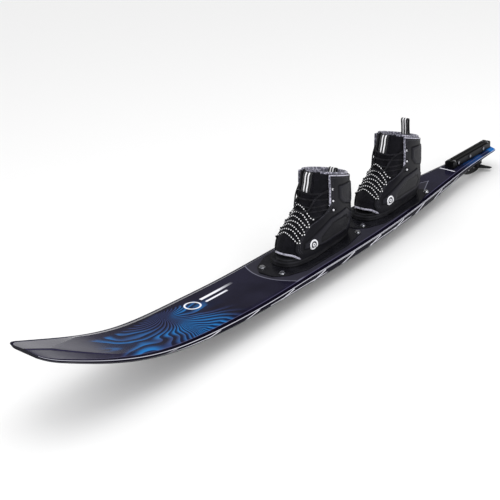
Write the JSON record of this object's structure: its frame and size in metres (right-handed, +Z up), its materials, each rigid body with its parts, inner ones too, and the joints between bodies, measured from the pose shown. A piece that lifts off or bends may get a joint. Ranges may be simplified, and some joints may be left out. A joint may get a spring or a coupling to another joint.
{
  "type": "slalom water ski",
  "caption": "Slalom water ski with upturned tip, lace-up open-toe boots on sliding plates, and an adjustable fin with wing in a clamp block.",
  "frame": {"origin": "centre of the flat running surface on the ski's underside", "axes": "+X along the ski towards its tip, +Y to the skier's left, +Z up out of the deck"},
  "size_m": [1.7, 0.1854, 0.2709],
  "materials": {
    "base_gloss": "gloss black",
    "foam": "closed-cell core, light as wood",
    "deck_gloss": "gloss very dark navy with blue swirls",
    "brass": "machined",
    "black_plastic": "moulded",
    "block_black": "black anodised",
    "steel": "stainless",
    "fin_black": "black anodised",
    "wing_black": "black anodised",
    "plate_black": "satin black laminate",
    "sole_rubber": "moulded foam rubber",
    "footbed_foam": "ribbed foam",
    "shell_rubber": "matte moulded",
    "stretch_fabric": "stretch knit over foam",
    "lining_fabric": "mottled fleece",
    "tongue_fabric": "padded",
    "webbing": "black webbing with two white lines",
    "badge_silver": "moulded",
    "lace_fabric": "braided black with white flecks",
    "bungee_fabric": "braided black"
  },
  "bodies": {
    "ski": {"ski_base_skin": "base_gloss", "ski_foam_core": "foam", "ski_top_cap": "deck_gloss", "binding_inserts": "brass", "fin_block_inserts": "brass", "fin_slot_liner": "black_plastic", "fin_clamp_left": "block_black", "fin_clamp_right": "block_black", "fin_block_bolts": "steel", "fin_clamp_screws": "steel", "front_plate_screws": "steel", "front_plate_washers": "steel", "rear_plate_screws": "steel", "rear_plate_washers": "steel"},
    "fin": {"fin_blade": "fin_black"},
    "wing": {"wing_left": "wing_black", "wing_right": "wing_black", "wing_screws": "steel"},
    "front_boot": {"front_plate": "plate_black", "front_sole": "sole_rubber", "front_footbed": "footbed_foam", "front_shell": "shell_rubber", "front_bootie": "stretch_fabric", "front_collar_pad": "lining_fabric", "front_badges": "badge_silver", "front_lace_guides": "black_plastic", "front_forefoot_lace": "lace_fabric", "front_ankle_lace": "bungee_fabric", "front_rivets": "steel"},
    "front_tongue_part": {"front_tongue": "tongue_fabric", "front_tongue_strap": "webbing"},
    "front_pull_loop": {"front_heel_loop": "webbing"},
    "rear_boot": {"rear_plate": "plate_black", "rear_sole": "sole_rubber", "rear_footbed": "footbed_foam", "rear_shell": "shell_rubber", "rear_bootie": "stretch_fabric", "rear_collar_pad": "lining_fabric", "rear_badges": "badge_silver", "rear_lace_guides": "black_plastic", "rear_forefoot_lace": "lace_fabric", "rear_ankle_lace": "bungee_fabric", "rear_rivets": "steel"},
    "rear_tongue_part": {"rear_tongue": "tongue_fabric", "rear_tongue_strap": "webbing"},
    "rear_pull_loop": {"rear_heel_loop": "webbing"}
  },
  "joints": [
    {"name": "front_plate_slide", "type": "slide", "parent": "ski", "child": "front_boot", "axis": [1, 0, 0], "range_m": [-0.006, 0.006]},
    {"name": "front_tongue_hinge", "type": "hinge", "parent": "front_boot", "child": "front_tongue_part", "pos_m": [0.281, 0, 0.096], "axis": [0, 1, 0], "range_deg": [-10, 0]},
    {"name": "front_pull_loop_hinge", "type": "hinge", "parent": "front_boot", "child": "front_pull_loop", "pos_m": [0.116, 0, 0.19442], "axis": [0, 1, 0], "range_deg": [-205, 2]},
    {"name": "rear_plate_slide", "type": "slide", "parent": "ski", "child": "rear_boot", "axis": [1, 0, 0], "range_m": [-0.006, 0.006]},
    {"name": "rear_tongue_hinge", "type": "hinge", "parent": "rear_boot", "child": "rear_tongue_part", "pos_m": [-0.041, 0, 0.096], "axis": [0, 1, 0], "range_deg": [-10, 0]},
    {"name": "rear_pull_loop_hinge", "type": "hinge", "parent": "rear_boot", "child": "rear_pull_loop", "pos_m": [-0.206, 0, 0.19442], "axis": [0, 1, 0], "range_deg": [-60, 140]},
    {"name": "fin_slide", "type": "slide", "parent": "ski", "child": "fin", "axis": [1, 0, 0], "range_m": [-0.005, 0.005]},
    {"name": "wing_angle", "type": "hinge", "parent": "fin", "child": "wing", "pos_m": [-0.602, 0, -0.02], "axis": [0, 1, 0], "range_deg": [-6, 6]}
  ]
}
